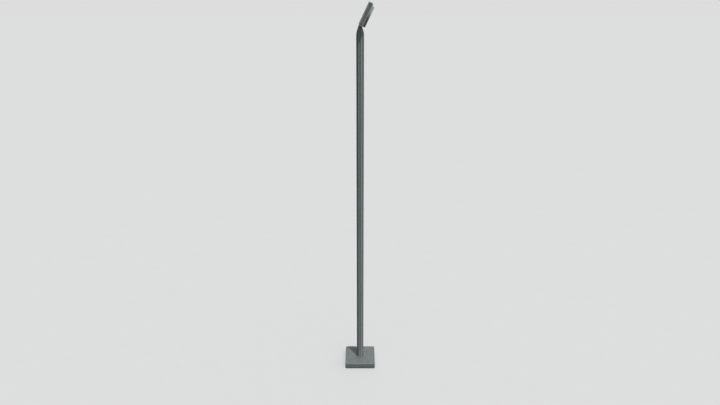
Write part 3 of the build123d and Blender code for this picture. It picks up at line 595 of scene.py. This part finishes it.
def cutout_glands():
    mesh = bmesh.new()
    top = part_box("cutout_glands")[1].z
    entries = [mount for mount in frame["record"]["mounts"] if mount["name"].startswith("supply_gland")]
    for entry in entries:
        length = entry["dims"]["length_mm"] * MM
        x, y, z = entry["pos_m"]
        place = Matrix.Translation((x, y, z + length / 2)) @ Matrix.Rotation(pi, 4, "X")
        entry_gland(mesh, place, length)
    length = entries[0]["dims"]["length_mm"] * MM
    entry_gland(mesh, Matrix.Translation((CABLE_AXIS.x, CABLE_AXIS.y, top - length)), length)
    new_piece("gland_set", mesh, finishes["black_plastic"], "post", "black_plastic", "cutout_glands")


def riser_gland():
    """Gland through the web of the pole top: lock nut below, hexagon flange and fluted cap above."""
    low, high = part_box("riser_gland")
    total = high.z - low.z
    radius = 12 * MM
    half_flats = 15.3 * MM
    nut_low, nut_high = 3 * MM, 10 * MM
    flange_low, flange_high = 20 * MM, 26 * MM
    cap_low = 26.5 * MM
    bore = circle(CABLE_RADIUS + BORE_PLAY)
    mesh = bmesh.new()
    profile = thread_profile(0, nut_low, radius)
    profile += nut_profile(nut_low, nut_high, half_flats)
    profile += thread_profile(nut_high, flange_low, radius)
    profile += nut_profile(flange_low, flange_high, half_flats)
    profile += cap_profile(cap_low, total, radius, CABLE_RADIUS)
    place = Matrix.Translation((CABLE_AXIS.x, CABLE_AXIS.y, low.z))
    turned(mesh, place, profile + [(0, bore)])
    new_piece("pole_top_gland", mesh, finishes["black_plastic"], "post", "black_plastic", "riser_gland")


def head_gland():
    """Gland between the neck and the gear tray of the head."""
    low, high = head_box("head_gland")
    total = high.z - low.z
    radius = 8 * MM
    half_flats = 9.9 * MM
    bore = 4 * MM
    nut_high = 5 * MM
    thread_high = 12 * MM
    cap_low = 12.5 * MM
    mesh = bmesh.new()
    profile = nut_profile(0, nut_high, half_flats)
    profile += thread_profile(nut_high, thread_high, radius)
    profile += cap_profile(cap_low, total, half_flats, bore)
    place = HEAD_TO_FRAME @ Matrix.Translation(((low.x + high.x) / 2, (low.y + high.y) / 2, low.z))
    turned(mesh, place, profile + [(0, circle(bore))])
    new_piece("tray_gland", mesh, finishes["black_plastic"], "head", "black_plastic", "head_gland")


def pole_outline(gap):
    """Points round the pole's rounded octagon, gap outside its surface."""
    corner_from_axis = (POLE_WIDTH / 2 - POLE_CORNER) / cos(pi / 8)
    steps = 8
    points = []
    for corner in range(8):
        middle = pi / 8 + corner * pi / 4
        centre = Vector((cos(middle), sin(middle))) * corner_from_axis
        for step in range(steps + 1):
            angle = middle + (step / steps - 0.5) * pi / 4
            points.append(centre + Vector((cos(angle), sin(angle))) * (POLE_CORNER + gap))
    return points


def collar():
    """Moulded lip seal between pole and cover: a skirt in the gap, a bulged lip on the cover, a thin top.

    The outline of its section is in mm: gap outside the pole, and rise over the top of the CAD collar.
    """
    low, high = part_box("cover_collar")
    inner, outer = 0.1, 3.9
    lip = (
        (outer, 0.1),
        (7.6, 0.2),
        (8.2, 0.9),
        (7.4, 1.9),
        (4.4, 2.8),
        (2.0, 4.4),
        (1.3, 6.6),
        (0.7, 7.2),
        (inner, 7.0),
    )
    section = [(inner, low.z), (outer, low.z)] + [(gap, high.z + rise * MM) for gap, rise in lip]
    mesh = bmesh.new()
    skin(mesh, [[(*point, height) for point in pole_outline(gap * MM)] for gap, height in section])
    new_piece("collar_seal", mesh, seal_rubber(), "post", "black_rubber", "cover_collar")


def seal_rubber():
    """Aged grey rubber, chalky with dust."""
    return rubber("collar_rubber", shade(84, 88, 87))


def solids_of(node):
    """Middle of each separate solid of a CAD node, in the head's own axes."""
    mesh = bmesh.new()
    mesh.from_mesh(nodes[node].data)
    bmesh.ops.remove_doubles(mesh, verts=mesh.verts, dist=0.01 * MM)
    left = set(mesh.verts)
    middles = []
    while left:
        front = [left.pop()]
        solid = []
        while front:
            vertex = front.pop()
            solid.append(in_head(vertex.co))
            for edge in vertex.link_edges:
                other = edge.other_vert(vertex)
                if other in left:
                    left.remove(other)
                    front.append(other)
        low, high = (Vector(map(pick, zip(*solid))) for pick in (min, max))
        middles.append((low + high) / 2)
    mesh.free()
    return sorted(middles, key=lambda point: (round(point.y, 4), round(point.z, 4)))


def led_packages():
    """Each LED is a square package with a round cup and a phosphor dome in it."""
    low, high = head_box("led_chips")
    thick = high.x - low.x
    half = 3 * MM
    cup = 2.45 * MM
    packages = bmesh.new()
    domes = bmesh.new()
    for middle in solids_of("led_chips"):
        base = Matrix.Translation((low.x, middle.y, middle.z)) @ Matrix.Rotation(pi / 2, 4, "Y")
        place = HEAD_TO_FRAME @ base
        profile = (
            (0, rounded_square(half)),
            (0.55 * thick, rounded_square(half)),
            (0.65 * thick, rounded_square(0.96 * half)),
            (0.65 * thick, circle(1.06 * cup)),
            (0.3 * thick, circle(0.96 * cup)),
            (0, circle(0.96 * cup)),
        )
        turned(packages, place, profile)
        dome = place @ Matrix.Translation((0, 0, thick / 2)) @ Matrix.Diagonal((cup, cup, thick / 2, 1))
        bmesh.ops.create_uvsphere(domes, u_segments=24, v_segments=12, radius=1, matrix=dome)
    white = finishes["white_plastic"]
    new_piece("led_bodies", packages, white, "lamp_module", "white_plastic", "led_chips")
    new_piece("led_domes", domes, finishes["led_phosphor"], "lamp_module", "led_phosphor", "led_chips")


cutout_glands()
riser_gland()
head_gland()
collar()
led_packages()


# ---- Floor, world and light ----
FLOOR_RADIUS = 280.0
SUN_FROM = Vector((0.313, -0.464, 0.829))
SUN_STRENGTH = 3.1
SUN_ANGLE = radians(3)
FILL_FROM = Vector((0.0, -1.0, 0.1))
FILL_STRENGTH = 0.45
BACK_FROM = Vector((0.0, 1.0, 0.05))
BACK_STRENGTH = 1.1
FILL_ANGLE = radians(50)
BACKDROP = shade(221, 221, 221)
SKY_TOP = shade(247, 248, 249)
SKY_SIDE = shade(188, 189, 190)
SKY_BELOW = shade(84, 85, 86)
SHADED_SIDE = 0.25
FLOOR_TONE = shade(167, 167, 167)
FLOOR_TONE_VARIED = shade(169, 169, 169)
FLOOR_GLOW = 0.68


def make_floor():
    """Plain pale disc. Most of its brightness is its own, so that the contact shadow is faint."""
    mesh = bpy.data.meshes.new("floor")
    disc = bmesh.new()
    bmesh.ops.create_circle(disc, cap_ends=True, radius=FLOOR_RADIUS, segments=96)
    disc.to_mesh(mesh)
    disc.free()
    floor = bpy.data.objects.new("floor", mesh)
    bpy.context.scene.collection.objects.link(floor)
    f = Finish("floor_paint")
    grain = f.ramp(f.noise(3, detail=2), 0.3, 0.7)
    colour = f.mix(grain, FLOOR_TONE, FLOOR_TONE_VARIED)
    f.feed(f.shader.inputs["Emission Color"], BACKDROP)
    f.shader.inputs["Emission Strength"].default_value = FLOOR_GLOW
    mesh.materials.append(f.done(colour, 0.95, Specular_IOR_Level=0.0))
    floor.visible_diffuse = False
    return floor


def make_world():
    """Soft studio light: brightest overhead, dimmer on the -X side. The camera sees a plain backdrop."""
    world = bpy.data.worlds.new("studio")
    world.use_nodes = True
    tree = world.node_tree

    def add(kind, **inputs):
        node = tree.nodes.new(kind)
        for name, value in inputs.items():
            socket = node.inputs[name.replace("_", " ")]
            if isinstance(value, bpy.types.NodeSocket):
                tree.links.new(value, socket)
            else:
                socket.default_value = value
        return node

    direction = tree.nodes.new("ShaderNodeTexCoord").outputs["Generated"]
    across, _, up = add("ShaderNodeSeparateXYZ", Vector=direction).outputs
    height = add("ShaderNodeMapRange", Value=up, From_Min=-1.0).outputs[0]
    sky = add("ShaderNodeValToRGB", Fac=height)
    stops = ((0.0, SKY_BELOW), (0.42, SKY_BELOW), (0.5, SKY_SIDE), (1.0, SKY_TOP))
    elements = sky.color_ramp.elements
    while len(elements) < len(stops):
        elements.new(0.5)
    for element, (position, colour) in zip(elements, stops):
        element.position = position
        element.color = colour
    side = add("ShaderNodeMapRange", Value=across, From_Min=-0.9, From_Max=0.3, To_Min=SHADED_SIDE)
    lighting = add("ShaderNodeBackground", Color=sky.outputs[0], Strength=side.outputs[0])
    seen = add("ShaderNodeBackground", Color=BACKDROP)
    rays = tree.nodes.new("ShaderNodeLightPath")
    chosen = tree.nodes.new("ShaderNodeMixShader")
    tree.links.new(rays.outputs["Is Camera Ray"], chosen.inputs[0])
    tree.links.new(lighting.outputs[0], chosen.inputs[1])
    tree.links.new(seen.outputs[0], chosen.inputs[2])
    tree.links.new(chosen.outputs[0], tree.nodes["World Output"].inputs["Surface"])
    bpy.context.scene.world = world


def make_lights(floor):
    """Key light from the front right, broad fills from the front and the back, all on the object alone.

    The back fill stays out of reflections, where it would show as a bright strip in the glass.
    """
    unlit = bpy.data.collections.new("not_lit_by_lamps")
    unlit.objects.link(floor)
    lamps = (
        ("key", SUN_FROM, SUN_STRENGTH, SUN_ANGLE),
        ("fill", FILL_FROM, FILL_STRENGTH, FILL_ANGLE),
        ("back_fill", BACK_FROM, BACK_STRENGTH, FILL_ANGLE),
    )
    for name, direction, strength, angle in lamps:
        data = bpy.data.lights.new(name, "SUN")
        data.energy = strength
        data.angle = angle
        lamp = bpy.data.objects.new(name, data)
        lamp.rotation_euler = direction.to_track_quat("Z", "Y").to_euler()
        lamp.visible_glossy = name != "back_fill"
        bpy.context.scene.collection.objects.link(lamp)
        lamp.light_linking.receiver_collection = unlit
    unlit.collection_objects[0].light_linking.link_state = "EXCLUDE"


make_world()
make_lights(make_floor())
